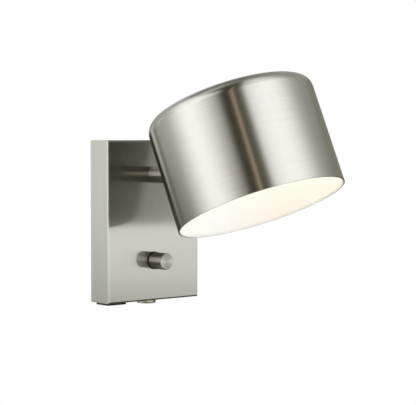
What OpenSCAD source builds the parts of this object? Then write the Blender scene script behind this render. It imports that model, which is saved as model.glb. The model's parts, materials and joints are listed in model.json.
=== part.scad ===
// Bedside wall reading lamp: a drum shade on a short swivelling arm, held by a slim box on the wall.
// +Z is up, the wall is the plane y = 0 and the lamp stands out towards -Y.
// The origin is the middle of the bracket's back face.

/* [Cover] */
// Width of the cover across the wall
cover_w = 100; // [90:1:140]
// Height of the cover
cover_h = 140; // [130:1:180]
// Depth of the cover from the wall to its front face
cover_d = 25; // [24:0.5:34]
// Sheet thickness of the cover
cover_wall = 1.2; // [0.8:0.1:1.6]
// Outside bend radius of the cover's front edges
bend_r = 1.4; // [0.8:0.1:3]
// Radius of the dressed corner seams of the cover
seam_r = 0.8; // [0.4:0.1:2]

/* [Arm] */
// Arm axis below the cover's top edge
arm_drop = 30; // [24:1:40]
// Cover front to the tilt pivot
arm_reach = 37; // [35:0.5:50]
// Outside diameter of the arm tube
arm_dia = 14; // [13:0.5:16]
// Wall of the arm tube
arm_wall = 1.5; // [1:0.1:2]

/* [Shade] */
// Outside diameter of the shade
shade_dia = 140; // [120:1:170]
// Height of the shade from rim to closed top
shade_h = 92.5; // [88:0.5:110]
// Sheet thickness of the shade
shade_wall = 1; // [0.8:0.1:1.4]
// Outside radius of the shade's rounded top edge
shade_edge_r = 10; // [4:0.5:16]
// Sheet thickness of the white reflector
reflector_wall = 0.6; // [0.5:0.1:1]
// Rim of the reflector above the shade's rim
reflector_inset = 1.2; // [0.5:0.1:6]
// Tilt pivot above the shade's rim
joint_h = 60; // [56:0.5:64]
// Tilt pivot to the shade's outer surface
joint_gap = 14; // [13:0.5:17]

/* [Pose] */
// Tilt of the shade at rest, the opening leaning out from the wall, in degrees
rest_tilt = 22; // [0:1:40]
// Swivel of the shade about the arm at rest, in degrees
rest_swivel = 4; // [0:1:20]

/* [Knob] */
// Knob axis above the cover's bottom edge
knob_rise = 35; // [30:1:42]
// Diameter of the dimmer knob
knob_dia = 14.5; // [14:0.5:20]
// Length of the dimmer knob
knob_l = 15.8; // [12:0.1:22]
// Bevel round the knob's face
knob_bevel = 0.7; // [0.3:0.1:1.5]
// Diameter of the black ring under the knob
ring_dia = 15.6; // [14:0.1:22]
// Thickness of the black ring
ring_t = 1; // [0.6:0.1:1.5]
// Diameter of the dimmer shaft
shaft_dia = 6; // [5:0.5:6]

/* [Cover screw] */
// Diameter of the cover screw's head
cap_dia = 16.6; // [12:0.2:19]
// Height of the cover screw's head
cap_h = 3; // [2:0.1:6]
// Rounding of the head's lower edge
cap_round = 0.9; // [0.3:0.1:1.4]
// Thread diameter of the cover screw
cap_thread = 5; // [4:0.5:6]
// Axis of the cover screw behind the cover's front face
screw_behind = 11.4; // [10:0.1:12]

/* [Charging socket] */
// Width of the socket's flange across the cover
socket_w = 20; // [18:0.5:24]
// Depth of the socket's flange from front to back
socket_d = 18; // [15:0.5:19]
// Thickness of the socket's flange
socket_lip = 1.8; // [1:0.1:3]
// Socket flange inside the cover's left face
socket_inset_x = 2; // [1:0.5:8]
// Socket flange behind the cover's front face
socket_inset_y = 3; // [2:0.5:4]

/* [Wall fixing] */
// Width of the bracket
bracket_w = 84; // [70:1:88]
// Sheet thickness of the bracket
bracket_t = 1.5; // [1.2:0.1:2]
// Distance between the two wall screw slots
slot_spacing = 100; // [90:1:104]
// Width of a wall screw slot
slot_w = 5; // [4:0.5:6]
// Length of a wall screw slot from end to end
slot_l = 9; // [8:0.5:12]
// Inside diameter of the cable grommet
cable_dia = 9; // [7:0.5:11]

/* [Bulb] */
// Diameter of the bulb's globe
globe_dia = 45; // [40:0.5:48]
// Length of the bulb from tip to crown
bulb_l = 78; // [74:0.5:82]
// Diameter of the bulb's screw cap
bulb_cap_dia = 13.9; // [13.5:0.1:14.1]
// Diameter of the lamp holder
holder_dia = 27; // [25:0.5:30]
// Length of the lamp holder
holder_l = 42; // [38:0.5:46]

/* [Hidden] */
$fn = 64;
// Facets of the shade's own curves, which are larger
fine = 240;

// Overrun of every cut past the face that it opens
over = 1;
// Gap between faces that move past each other
run_gap = 0.3;
// Radial play of a pin or shaft in its bore
pin_play = 0.05;
// Play of a part in the hole that it drops into
drop_play = 0.2;
// Gap between a part and the piece that carries it, face on face
lay_gap = 0.05;

arm_z = cover_h / 2 - arm_drop;
knob_z = knob_rise - cover_h / 2;
inner_front = cover_d - cover_wall;
inner_half_w = cover_w / 2 - cover_wall;
inner_half_h = cover_h / 2 - cover_wall;
pivot_y = -(cover_d + arm_reach);

// Bracket: its lower tab, its top flange and the two slots that the cover's hooks drop into
tab_w = 28;
tab_margin = 2;
flange_reach = 10;
hook_w = 8;
hook_t = 1.2;
hook_drop = 6;
hook_pitch = 50;
hook_y = 6;
bracket_bend = 2;
bracket_corner = 4;
bracket_margin = 5;
rib_l = 50;
rib_w = 4;
rib_h = 1;
rib_x = 30;
earth_x = 24;
earth_z = 34;
earth_dia = 4;
earth_head_dia = 8;
earth_head_h = 2.4;
earth_drive_w = 1.2;
earth_drive_h = 1;
earth_clamp_w = 10;
earth_clamp_t = 1;
wire_dia = 2.4;

// Cable grommet: the hole in the bracket, its flanges and its tapered nose
grommet_z = -6;
grommet_hole_dia = 16;
grommet_flange_dia = 21;
grommet_flange_t = 1.2;
grommet_nose_l = 4;
grommet_nose_dia = 13;

// Terminal block: three poles side by side
poles = 3;
pole_pitch = 10;
block_h = 15;
block_d = 12;
block_z = 18;
terminal_x = -22;
block_foot = 1;
block_edge = 1.5;
tower_w = 7.4;
tower_d = 3;
terminal_dia = 3.6;
terminal_head_h = 2;
terminal_slot = 0.8;
entry_dia = 3.2;
entry_l = 5;

// Dimmer: its case, its bush through the cover and its terminals
dimmer_w = 30;
dimmer_d = 13;
dimmer_edge = 3;
dimmer_step = 4;
dimmer_rib_w = 1.2;
dimmer_rib_h = 0.8;
dimmer_ribs = 5;
dimmer_rib_pitch = 4.4;
bush_dia = 8;
bush_proud = 0.4;
nut_af = 10;
nut_t = 1.9;
shaft_in = 9;
flat_depth = 1.2;
flat_l = 9;

// Knob: the hollow over the nut, the turned rings on its face and the grub screw
knob_hollow_dia = 12.3;
knob_hollow_l = 3.7;
knob_gap = 0.4;
face_rings = 4;
face_ring_pitch = 1.5;
face_ring_w = 0.25;
face_ring_depth = 0.12;
grub_dia = 3;
grub_from_back = 8;
grub_hex_af = 1.5;
grub_hex_depth = 1.5;
knob_bore_l = 13;

// Cover screw: shank, and the insert in the bracket's tab
shank_l = 9;
insert_dia = 9;
insert_neck_dia = 7;
insert_head_t = 1;
insert_l = 6;
cap_groove_w = 0.5;
cap_groove_depth = 0.35;
cap_coin_w = 1.6;
cap_coin_depth = 1.2;

// Charging socket: the case behind the flange and the port in it
charger_h = 34;
charger_step_h = 10;
charger_step = 1.5;
charger_edge = 1;
charger_fins = 4;
charger_fin_pitch = 4;
charger_fin_w = 1.4;
charger_fin_h = 0.8;
bezel_h = 8;
bezel_wall = 1.2;
bezel_play = 0.1;
bezel_corner = 1.6;
port_w = 13.1;
port_d = 5.7;
port_l = 12;
port_wall = 0.3;
tongue_w = 11.1;
tongue_t = 1.8;
tongue_l = 9;
tongue_root_t = 1;
tongue_offset = 1;

// Swivel at the cover: nipple, bush, washers and nut
nipple_dia = 10;
nipple_bore = 6;
nipple_in = 9.8;
plug_l = 10;
fit_play = 0.05;
sleeve_dia = 12;
sleeve_flange_dia = 18;
sleeve_flange_t = 1.4;
stop_w = 3;
stop_reach = 10.8;
stop_h = 1.2;
washer_dia = 16;
washer_t = 1;
spring_dia = 15;
spring_t = 0.8;
lock_af = 14;
lock_t = 4;

// Tilt knuckle: the fork on the arm, the tongue of the shade and the pivot between them
fork_solid = 6.5;
fork_plug_l = 8;
fork_end_extra = 0.4;
tongue_thick = 4;
friction_t = 0.5;
friction_dia = 12;
fork_clear = 0.6;
pivot_dia = 4;
pivot_head_dia = 7;
pivot_head_h = 2.2;
pivot_sink = 1.2;
pivot_nut_af = 7;
pivot_nut_t = 2.2;
pivot_hex_af = 2.5;
pivot_hex_depth = 1.3;
boss_start = 8.2;
boss_round = 0.8;
neck_h = 9;
lead_dia = 4.4;
lead_tail = 3;

// Shade head: the threaded nipple through the shade and the lamp holder on it
reflector_gap = 0.1;
nipple_reach = 16;
saddle_dia = 18;
saddle_flat = 2;
head_nut_t = 3;
cap_taper = 4;
cap_neck_dia = 17;
holder_cap_l = 13;
holder_wall = 3.2;
holder_ring_l = 4;
holder_ring_rise = 1.2;
holder_ribs = 24;
holder_rib_w = 1;
holder_rib_depth = 0.5;
thread_shell_wall = 0.5;
thread_play = 0.15;
thread_shell_l = 19;
shell_inset = 1;
contact_w = 4;
contact_t = 0.6;
contact_l = 8;
contact_rise = 3;
contact_pin_dia = 2.4;

// Bulb: its base cone and screw cap
globe_wall = 1.2;
bulb_neck_dia = 27;
neck_blend_share = 0.6;
bulb_collar_dia = 17;
bulb_base_l = 17;
bulb_cap_l = 15;
thread_pitch = 2.8;
thread_depth = 0.8;
thread_rings = 5;
tip_cone_l = 2.6;
tip_dia = 4.6;
tip_h = 1.2;
insulator_dia = 9;

// Shared shapes

module rod_x(r, from, to) {
    translate([from, 0, 0])
        rotate([0, 90, 0])
            cylinder(r = r, h = to - from);
}

module rod_y(r, from, to) {
    translate([0, from, 0])
        rotate([-90, 0, 0])
            cylinder(r = r, h = to - from);
}

module rod_z(r, from, to) {
    translate([0, 0, from])
        cylinder(r = r, h = to - from);
}

// A hexagon across flats af, lying along Y
module hex_y(af, from, to) {
    translate([0, from, 0])
        rotate([-90, 0, 0])
            cylinder(r = af / 2 / cos(30), h = to - from, $fn = 6);
}

// A block from its two opposite corners
module block(low, high) {
    translate(low)
        cube(high - low);
}

// A rectangle about the origin with round corners, as true arcs
module round_rect(w, h, r) {
    square([w - 2 * r, h], center = true);
    square([w, h - 2 * r], center = true);
    for (sx = [-1, 1], sy = [-1, 1])
        translate([sx * (w / 2 - r), sy * (h / 2 - r)])
            circle(r);
}

// A flat outline, drawn with X across and Y as height, set up on the wall between two depths
module wall_slab(from, to) {
    translate([0, to, 0])
        rotate([90, 0, 0])
            linear_extrude(to - from)
                children();
}

// An outline drawn with X as the depth from the wall and Y as the height, drawn out across the wall
module along_x(from, to) {
    translate([from, 0, 0])
        rotate([90, 0, 90])
            linear_extrude(to - from)
                mirror([1, 0, 0])
                    children();
}

// The frame of the shade: its origin is the tilt pivot and its -Y runs out along the tongue
module head_frame() {
    translate([0, pivot_y, arm_z])
        rotate([0, -rest_swivel, 0])
            rotate([-rest_tilt, 0, 0])
                children();
}

module at_arm() {
    translate([0, 0, arm_z])
        children();
}

module at_knob() {
    translate([0, 0, knob_z])
        children();
}

// Wall bracket

bracket_top = inner_half_h - run_gap;
bracket_plate_half = bracket_top - bracket_margin;
tab_hole_y = cover_d - screw_behind;
tab_reach = tab_hole_y + insert_dia / 2 + tab_margin;
flange_w = hook_pitch + 2 * hook_w;

// A bent strip seen from its end: one leg along +X, the other along +Y
module angle_strip(a, b, t, r) {
    difference() {
        union() {
            translate([r, 0])
                square([a - r, b]);
            translate([0, r])
                square([a, b - r]);
            translate([r, r])
                circle(r);
        }
        translate([t, t])
            square([a, b]);
    }
}

module slot_outline(w, l) {
    square([w, l - w], center = true);
    for (end = [-1, 1])
        translate([0, end * (l - w) / 2])
            circle(w / 2);
}

module bracket_outline() {
    round_rect(bracket_w, 2 * bracket_plate_half, bracket_corner);
    translate([-tab_w / 2, -bracket_top + bracket_bend])
        square([tab_w, bracket_top]);
    translate([-flange_w / 2, 0])
        square([flange_w, bracket_top - bracket_bend]);
}

module wall_bracket() {
    color([0.78, 0.79, 0.80])
        difference() {
            union() {
                wall_slab(-bracket_t, 0)
                    bracket_outline();
                // Lower tab, bent forward
                along_x(-tab_w / 2, tab_w / 2)
                    translate([0, -bracket_top])
                        angle_strip(tab_reach, tab_reach, bracket_t, bracket_bend);
                // Top flange, bent forward
                along_x(-flange_w / 2, flange_w / 2)
                    translate([0, bracket_top])
                        mirror([0, 1, 0])
                            angle_strip(flange_reach, flange_reach, bracket_t, bracket_bend);
                // Two pressed stiffening ribs
                for (side = [-1, 1])
                    translate([side * rib_x, 0, -rib_l / 4])
                        wall_slab(-bracket_t - rib_h, -bracket_t)
                            slot_outline(rib_w, rib_l);
            }
            for (side = [-1, 1])
                translate([0, 0, side * slot_spacing / 2])
                    wall_slab(-bracket_t - over, over)
                        slot_outline(slot_w, slot_l);
            translate([0, 0, grommet_z])
                rod_y(grommet_hole_dia / 2, -bracket_t - over, over);
            for (side = [-1, 1])
                translate([side * hook_pitch / 2, -hook_y, bracket_top])
                    block([-hook_w / 2 - drop_play, -hook_t / 2 - drop_play, -bracket_t - over],
                        [hook_w / 2 + drop_play, hook_t / 2 + drop_play, over]);
            translate([0, -tab_hole_y, 0])
                rod_z(insert_neck_dia / 2 + pin_play, -bracket_top - over,
                    -bracket_top + bracket_t + over);
            translate([earth_x, 0, earth_z])
                rod_y(earth_dia / 2 + pin_play, -bracket_t - over, over);
        }
}

// Front cover

// Outline of the folded cover cut across: w wide about the origin, open at y = 0, its front edges bent
module bent_section(w) {
    translate([-w / 2, 0])
        square([w, cover_d - bend_r]);
    translate([bend_r - w / 2, 0])
        square([w - 2 * bend_r, cover_d]);
    for (side = [-1, 1])
        translate([side * (w / 2 - bend_r), cover_d - bend_r])
            circle(bend_r);
}

module cover_body() {
    intersection() {
        translate([0, 0, -cover_h / 2])
            linear_extrude(cover_h)
                mirror([0, 1, 0])
                    bent_section(cover_w);
        along_x(-cover_w / 2, cover_w / 2)
            mirror([1, -1, 0])
                bent_section(cover_h);
        wall_slab(-cover_d - over, over)
            round_rect(cover_w, cover_h, seam_r);
    }
}

socket_x = -cover_w / 2 + socket_inset_x + socket_w / 2;
socket_y = -cover_d + socket_inset_y + socket_d / 2;
neck_w = socket_w - 2 * bezel_wall;
neck_d = socket_d - 2 * bezel_wall;

module front_cover() {
    color([0.72, 0.71, 0.68])
        difference() {
            union() {
                difference() {
                    cover_body();
                    block([-inner_half_w, -inner_front, -inner_half_h],
                        [inner_half_w, over, inner_half_h]);
                }
                // Two hooks, welded under the top wall
                for (side = [-1, 1])
                    translate([side * hook_pitch / 2, -hook_y, inner_half_h])
                        block([-hook_w / 2, -hook_t / 2, -hook_drop],
                            [hook_w / 2, hook_t / 2, cover_wall / 2]);
            }
            at_arm()
                rod_y(sleeve_dia / 2 + fit_play, -cover_d - over, -inner_front + over);
            at_knob()
                rod_y(bush_dia / 2 + drop_play, -cover_d - over, -inner_front + over);
            translate([0, -tab_hole_y, 0])
                rod_z(cap_thread / 2 + drop_play, -cover_h / 2 - over, -inner_half_h + over);
            translate([socket_x, socket_y, 0])
                block([-neck_w / 2 - bezel_play, -neck_d / 2 - bezel_play, -cover_h / 2 - over],
                    [neck_w / 2 + bezel_play, neck_d / 2 + bezel_play, -inner_half_h + over]);
        }
}

// Round head with a coin slot and a grip groove, and a shank that rises through the cover into the insert
module cover_screw() {
    color([0.80, 0.79, 0.76])
        translate([0, -tab_hole_y, -cover_h / 2 - lay_gap]) {
            difference() {
                rotate_extrude()
                    difference() {
                        union() {
                            translate([0, -cap_h + cap_round])
                                square([cap_dia / 2, cap_h - cap_round]);
                            translate([0, -cap_h])
                                square([cap_dia / 2 - cap_round, cap_h]);
                            translate([cap_dia / 2 - cap_round, -cap_h + cap_round])
                                circle(cap_round);
                        }
                        translate([cap_dia / 2 - cap_groove_depth, -cap_groove_w - cap_groove_depth])
                            square([cap_dia, cap_groove_w]);
                    }
                block([-cap_dia, -cap_coin_w / 2, -cap_h - over],
                    [cap_dia, cap_coin_w / 2, -cap_h + cap_coin_depth]);
            }
            rod_z(cap_thread / 2, 0, shank_l);
        }
}

module threaded_insert() {
    color([0.75, 0.70, 0.55])
        translate([0, -tab_hole_y, -bracket_top])
            difference() {
                union() {
                    rod_z(insert_neck_dia / 2, 0, bracket_t + lay_gap);
                    rod_z(insert_dia / 2, bracket_t + lay_gap, bracket_t + lay_gap + insert_head_t);
                    rod_z(insert_neck_dia / 2, bracket_t, insert_l);
                }
                rod_z(cap_thread / 2 + pin_play, -over, insert_l + over);
            }
}

// Rubber bush in the bracket, with a flange and a tapered nose, for the house wiring
module cable_grommet() {
    neck_r = grommet_hole_dia / 2 - pin_play;
    nose_r = grommet_nose_dia / 2;
    flange_r = grommet_flange_dia / 2;
    bore_r = cable_dia / 2;
    flange_start = bracket_t + lay_gap;
    flange_end = flange_start + grommet_flange_t;
    color([0.08, 0.08, 0.08])
        translate([0, 0, grommet_z])
            rotate([90, 0, 0])
                rotate_extrude()
                    polygon([[bore_r, 0], [neck_r, 0], [neck_r, flange_start], [flange_r, flange_start],
                        [flange_r, flange_end], [neck_r, flange_end],
                        [nose_r, flange_end + grommet_nose_l], [bore_r, flange_end + grommet_nose_l]]);
}

// Terminals

block_w = poles * pole_pitch;
block_front = bracket_t + lay_gap + block_foot + block_d;
function pole_x(i) = terminal_x + (i - (poles - 1) / 2) * pole_pitch;

module terminal_block() {
    color([0.90, 0.89, 0.84])
        difference() {
            union() {
                translate([terminal_x, 0, block_z]) {
                    wall_slab(-block_front, -bracket_t - lay_gap - block_foot)
                        round_rect(block_w, block_h, block_edge);
                    for (side = [-1, 1])
                        translate([side * (block_w / 2 - pole_pitch / 2), 0, 0])
                            rod_y(tower_w / 2, -bracket_t - lay_gap - block_foot - over,
                                -bracket_t - lay_gap);
                }
                for (i = [0 : poles - 1])
                    translate([pole_x(i), -block_front, block_z])
                        block([-tower_w / 2, -tower_d, -block_h / 4],
                            [tower_w / 2, over, block_h / 4]);
            }
            for (i = [0 : poles - 1], end = [-1, 1]) {
                translate([pole_x(i), -block_front + block_d / 2, block_z + end * block_h / 2])
                    rod_z(entry_dia / 2, -entry_l, entry_l);
                translate([pole_x(i), 0, block_z + end * block_h / 8])
                    rod_y(terminal_dia / 2 + pin_play, -block_front - tower_d - over,
                        -block_front - tower_d + terminal_head_h + 2 * lay_gap);
            }
        }
}

module terminal_screws() {
    color([0.80, 0.72, 0.45])
        for (i = [0 : poles - 1], end = [-1, 1])
            translate([pole_x(i), -block_front - tower_d + lay_gap, block_z + end * block_h / 8])
                difference() {
                    rod_y(terminal_dia / 2, 0, terminal_head_h);
                    block([-terminal_dia, -over, -terminal_slot / 2],
                        [terminal_dia, terminal_slot, terminal_slot / 2]);
                }
}

module earth_screw() {
    head_back = bracket_t + 2 * lay_gap + earth_clamp_t + wire_dia;
    color([0.80, 0.72, 0.45])
        translate([earth_x, 0, earth_z])
            difference() {
                union() {
                    rod_y(earth_dia / 2, -head_back - over, -lay_gap);
                    rod_y(earth_head_dia / 2, -head_back - earth_head_h, -head_back);
                }
                translate([0, -head_back - earth_head_h, 0])
                    for (turn = [0, 90])
                        rotate([0, turn, 0])
                            block([-earth_head_dia / 4, -over, -earth_drive_w / 2],
                                [earth_head_dia / 4, earth_drive_h, earth_drive_w / 2]);
            }
}

// Saddle plate that presses the earth lead onto the bracket
module earth_clamp() {
    plate_back = bracket_t + lay_gap + wire_dia;
    color([0.78, 0.79, 0.80])
        translate([earth_x, 0, earth_z])
            difference() {
                union() {
                    block([-earth_clamp_w / 2, -plate_back - earth_clamp_t, -earth_clamp_w / 2],
                        [earth_clamp_w / 2, -plate_back, earth_clamp_w / 2]);
                    block([earth_clamp_w / 2 - earth_clamp_t, -plate_back, -earth_clamp_w / 2],
                        [earth_clamp_w / 2, -bracket_t - lay_gap, earth_clamp_w / 2]);
                }
                rod_y(earth_dia / 2 + pin_play, -plate_back - earth_clamp_t - over, 0);
            }
}

// Dimmer

dimmer_front = inner_front - lay_gap;
dimmer_back = dimmer_front - dimmer_d;
nut_back = cover_d + ring_t + 2 * lay_gap;
bush_end = nut_back + nut_t + bush_proud;
knob_back = nut_back + knob_gap;
shaft_inner = dimmer_front - shaft_in;
shaft_outer = knob_back + knob_bore_l - run_gap;

module dimmer_module() {
    color([0.12, 0.12, 0.13])
        at_knob()
            difference() {
                union() {
                    wall_slab(-dimmer_front, -dimmer_front + dimmer_step)
                        round_rect(dimmer_w, dimmer_w, dimmer_edge);
                    wall_slab(-dimmer_front + dimmer_step, -dimmer_back)
                        round_rect(dimmer_w - dimmer_rib_w, dimmer_w - dimmer_rib_w, dimmer_edge);
                    for (i = [0 : dimmer_ribs - 1])
                        translate([(i - (dimmer_ribs - 1) / 2) * dimmer_rib_pitch, -dimmer_back, 0])
                            block([-dimmer_rib_w / 2, -over, -dimmer_w / 3],
                                [dimmer_rib_w / 2, dimmer_rib_h, dimmer_w / 3]);
                    rod_y(bush_dia / 2, -bush_end, -dimmer_front + over);
                }
                rod_y(shaft_dia / 2 + pin_play, -bush_end - over, -shaft_inner + run_gap);
            }
}

module bush_ring() {
    color([0.05, 0.05, 0.05])
        at_knob()
            difference() {
                rod_y(ring_dia / 2, -cover_d - lay_gap - ring_t, -cover_d - lay_gap);
                rod_y(bush_dia / 2 + drop_play, -cover_d - ring_t - over, -cover_d + over);
            }
}

module bush_nut() {
    color([0.70, 0.70, 0.70])
        at_knob()
            difference() {
                hex_y(nut_af, -nut_back - nut_t, -nut_back);
                rod_y(bush_dia / 2 + pin_play, -nut_back - nut_t - over, -nut_back + over);
            }
}

module dimmer_shaft() {
    color([0.75, 0.75, 0.75])
        at_knob()
            difference() {
                rod_y(shaft_dia / 2, -shaft_outer, -shaft_inner);
                block([-shaft_dia, -shaft_outer - over, -shaft_dia],
                    [shaft_dia, -shaft_outer + flat_l, -shaft_dia / 2 + flat_depth]);
            }
}

// Turned metal cap, hollow over the nut, with a bevelled face and fine turned rings
module dimmer_knob() {
    r = knob_dia / 2;
    bore_r = shaft_dia / 2 + pin_play;
    hollow_r = knob_hollow_dia / 2;
    color([0.66, 0.64, 0.60])
        at_knob()
            translate([0, -knob_back, 0])
                difference() {
                    rotate([90, 0, 0])
                        rotate_extrude()
                            difference() {
                                polygon([[0, knob_l], [r - knob_bevel, knob_l],
                                    [r, knob_l - knob_bevel], [r, 0], [hollow_r, 0],
                                    [hollow_r, knob_hollow_l], [bore_r, knob_hollow_l],
                                    [bore_r, knob_bore_l], [0, knob_bore_l]]);
                                for (i = [1 : face_rings])
                                    translate([i * face_ring_pitch, knob_l - face_ring_depth])
                                        square([face_ring_w, over]);
                            }
                    translate([0, -grub_from_back, 0])
                        rod_z(grub_dia / 2 + pin_play, -knob_dia, -shaft_dia / 4);
                }
}

module grub_screw() {
    color([0.25, 0.25, 0.26])
        at_knob()
            translate([0, -knob_back - grub_from_back, 0])
                difference() {
                    rod_z(grub_dia / 2, -knob_dia / 2 + knob_gap, -shaft_dia / 2 + flat_depth - lay_gap);
                    translate([0, 0, -knob_dia / 2 + knob_gap - over])
                        cylinder(r = grub_hex_af / 2 / cos(30), h = grub_hex_depth + over, $fn = 6);
                }
}

// Charging socket

module at_socket() {
    translate([socket_x, socket_y, -cover_h / 2])
        children();
}

module socket_bezel() {
    color([0.03, 0.03, 0.03])
        at_socket()
            difference() {
                union() {
                    translate([0, 0, -socket_lip])
                        linear_extrude(socket_lip - lay_gap)
                            round_rect(socket_w, socket_d, bezel_corner);
                    block([-neck_w / 2, -neck_d / 2, -socket_lip],
                        [neck_w / 2, neck_d / 2, bezel_h]);
                    // Snap lugs that hold the flange up against the cover
                    for (side = [-1, 1])
                        translate([side * neck_w / 2, 0, cover_wall + lay_gap])
                            block([-bezel_wall / 2, -neck_d / 4, 0],
                                [bezel_wall / 2, neck_d / 4, bezel_wall]);
                }
                block([-port_w / 2 - bezel_play, -port_d / 2 - bezel_play, -socket_lip - over],
                    [port_w / 2 + bezel_play, port_d / 2 + bezel_play, bezel_h + over]);
            }
}

port_face = -socket_lip + lay_gap + bezel_play;
port_back = port_face + port_l;

module charger_module() {
    low = bezel_h + lay_gap;
    color([0.16, 0.16, 0.17])
        at_socket()
            difference() {
                union() {
                    translate([0, 0, low])
                        linear_extrude(charger_step_h)
                            round_rect(neck_w, neck_d, charger_edge);
                    translate([0, 0, low])
                        linear_extrude(charger_h - low)
                            round_rect(neck_w - charger_step, neck_d - charger_step, charger_edge);
                    for (i = [0 : charger_fins - 1])
                        translate([0, 0, low + charger_step_h + charger_fin_w + i * charger_fin_pitch])
                            linear_extrude(charger_fin_w)
                                round_rect(neck_w - charger_step + charger_fin_h,
                                    neck_d - charger_step + charger_fin_h, charger_edge);
                }
                block([-port_w / 2 - bezel_play, -port_d / 2 - bezel_play, low - over],
                    [port_w / 2 + bezel_play, port_d / 2 + bezel_play, port_back + lay_gap]);
            }
}

module port_shell() {
    color([0.78, 0.78, 0.78])
        at_socket()
            difference() {
                block([-port_w / 2, -port_d / 2, port_face], [port_w / 2, port_d / 2, port_back]);
                block([-port_w / 2 + port_wall, -port_d / 2 + port_wall, port_face - over],
                    [port_w / 2 - port_wall, port_d / 2 - port_wall, port_back - port_wall]);
            }
}

module port_tongue() {
    root = port_back - port_wall - lay_gap;
    color([0.92, 0.92, 0.90])
        at_socket() {
            block([-tongue_w / 2, tongue_offset - tongue_t / 2, root - tongue_root_t - tongue_l],
                [tongue_w / 2, tongue_offset + tongue_t / 2, root]);
            block([-port_w / 2 + 2 * port_wall, -port_d / 2 + 2 * port_wall, root - tongue_root_t],
                [port_w / 2 - 2 * port_wall, port_d / 2 - 2 * port_wall, root]);
        }
}

// Swivel and arm

sleeve_in = inner_front - lay_gap - sleeve_flange_t;
washer_front = sleeve_in - run_gap;
spring_front = washer_front - washer_t - lay_gap;
lock_front = spring_front - spring_t - lay_gap;
nipple_end = cover_d - nipple_in;
tongue_r = arm_dia / 2 - pin_play;
arm_r = arm_dia / 2;
ear_r = arm_r + fork_end_extra;
fork_floor = tongue_r + fork_clear;
tube_out = -pivot_y - fork_floor - fork_solid;
tube_in = cover_d + run_gap;
plug_r = arm_dia / 2 - arm_wall - pin_play;
ear_gap = tongue_thick / 2 + friction_t + 2 * lay_gap;
pivot_seat = arm_dia / 2 - pivot_sink - pivot_head_h;

// The frame of the arm: its axis along Y through the origin, turned by the swivel
module arm_frame() {
    at_arm()
        rotate([0, -rest_swivel, 0])
            children();
}

// Plastic bush in the cover, with the lug that stops the swivel
module swivel_bush() {
    color([0.93, 0.93, 0.91])
        at_arm()
            difference() {
                union() {
                    rod_y(sleeve_dia / 2, -cover_d, -inner_front + lay_gap);
                    rod_y(sleeve_flange_dia / 2, -inner_front + lay_gap, -sleeve_in);
                    block([-stop_w / 2, -inner_front + lay_gap, -stop_reach],
                        [stop_w / 2, -washer_front + washer_t, -washer_dia / 2 - run_gap]);
                    block([-stop_w / 2, -inner_front + lay_gap, -stop_reach],
                        [stop_w / 2, -sleeve_in, -sleeve_dia / 2]);
                }
                rod_y(nipple_dia / 2 + pin_play, -cover_d - over, -sleeve_in + over);
            }
}

module swivel_nipple() {
    color([0.80, 0.72, 0.45])
        arm_frame()
            difference() {
                union() {
                    rod_y(plug_r, -tube_in - plug_l, -tube_in);
                    rod_y(nipple_dia / 2, -tube_in - over, -nipple_end);
                }
                rod_y(nipple_bore / 2, -tube_in - plug_l - over, -nipple_end + over);
            }
}

// Washer keyed to the nipple, whose tab meets the lug on the bush
module stop_washer() {
    color([0.78, 0.79, 0.80])
        arm_frame()
            difference() {
                union() {
                    rod_y(washer_dia / 2, -washer_front, -washer_front + washer_t);
                    block([-stop_w / 2, -washer_front, 0],
                        [stop_w / 2, -washer_front + washer_t, stop_reach]);
                }
                rod_y(nipple_dia / 2 + pin_play, -washer_front - over, -washer_front + 2 * over);
            }
}

// Cupped spring washer
module spring_washer() {
    outer = spring_dia / 2;
    inner = nipple_dia / 2 + pin_play;
    cup = spring_t / 2;
    color([0.55, 0.56, 0.58])
        arm_frame()
            translate([0, -spring_front, 0])
                rotate([-90, 0, 0])
                    rotate_extrude()
                        polygon([[outer, 0], [outer, cup], [inner, spring_t], [inner, cup]]);
}

module swivel_nut() {
    color([0.80, 0.72, 0.45])
        arm_frame()
            difference() {
                hex_y(lock_af, -lock_front, -lock_front + lock_t);
                rod_y(nipple_dia / 2 + pin_play, -lock_front - over, -lock_front + lock_t + over);
            }
}

module arm_tube() {
    color([0.70, 0.69, 0.66])
        arm_frame()
            difference() {
                rod_y(arm_dia / 2, -tube_out, -tube_in);
                rod_y(arm_dia / 2 - arm_wall, -tube_out - over, -tube_in + over);
            }
}

// Turned fork: two round-ended ears with a slot between them, and a plug in the tube
module arm_fork() {
    color([0.70, 0.69, 0.66])
        arm_frame()
            difference() {
                union() {
                    intersection() {
                        rod_y(arm_dia / 2, pivot_y - ear_r - over, -tube_out - lay_gap);
                        along_x(-arm_dia, arm_dia)
                            translate([-pivot_y, 0]) {
                                circle(ear_r);
                                translate([-arm_dia - fork_solid, -ear_r])
                                    square([arm_dia + fork_solid, 2 * ear_r]);
                            }
                    }
                    rod_y(plug_r, -tube_out - over, -tube_out + fork_plug_l);
                }
                block([-ear_gap, pivot_y - ear_r - over, -arm_dia],
                    [ear_gap, pivot_y + fork_floor, arm_dia]);
                rod_y(nipple_bore / 2, pivot_y + fork_floor - over, -tube_out + fork_plug_l + over);
                translate([0, pivot_y, 0]) {
                    rod_x(pivot_dia / 2 + pin_play, -arm_dia, arm_dia);
                    rod_x(pivot_head_dia / 2 + pin_play, pivot_seat, arm_dia);
                    rotate([0, 0, 90])
                        hex_y(pivot_nut_af + 2 * pin_play, pivot_seat, arm_dia);
                }
            }
}

module friction_washers() {
    color([0.90, 0.90, 0.86])
        arm_frame()
            translate([0, pivot_y, 0])
                for (side = [-1, 1])
                    translate([side * (ear_gap - lay_gap - friction_t / 2), 0, 0])
                        difference() {
                            rod_x(friction_dia / 2, -friction_t / 2, friction_t / 2);
                            rod_x(pivot_dia / 2 + pin_play, -friction_t, friction_t);
                        }
}

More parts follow.
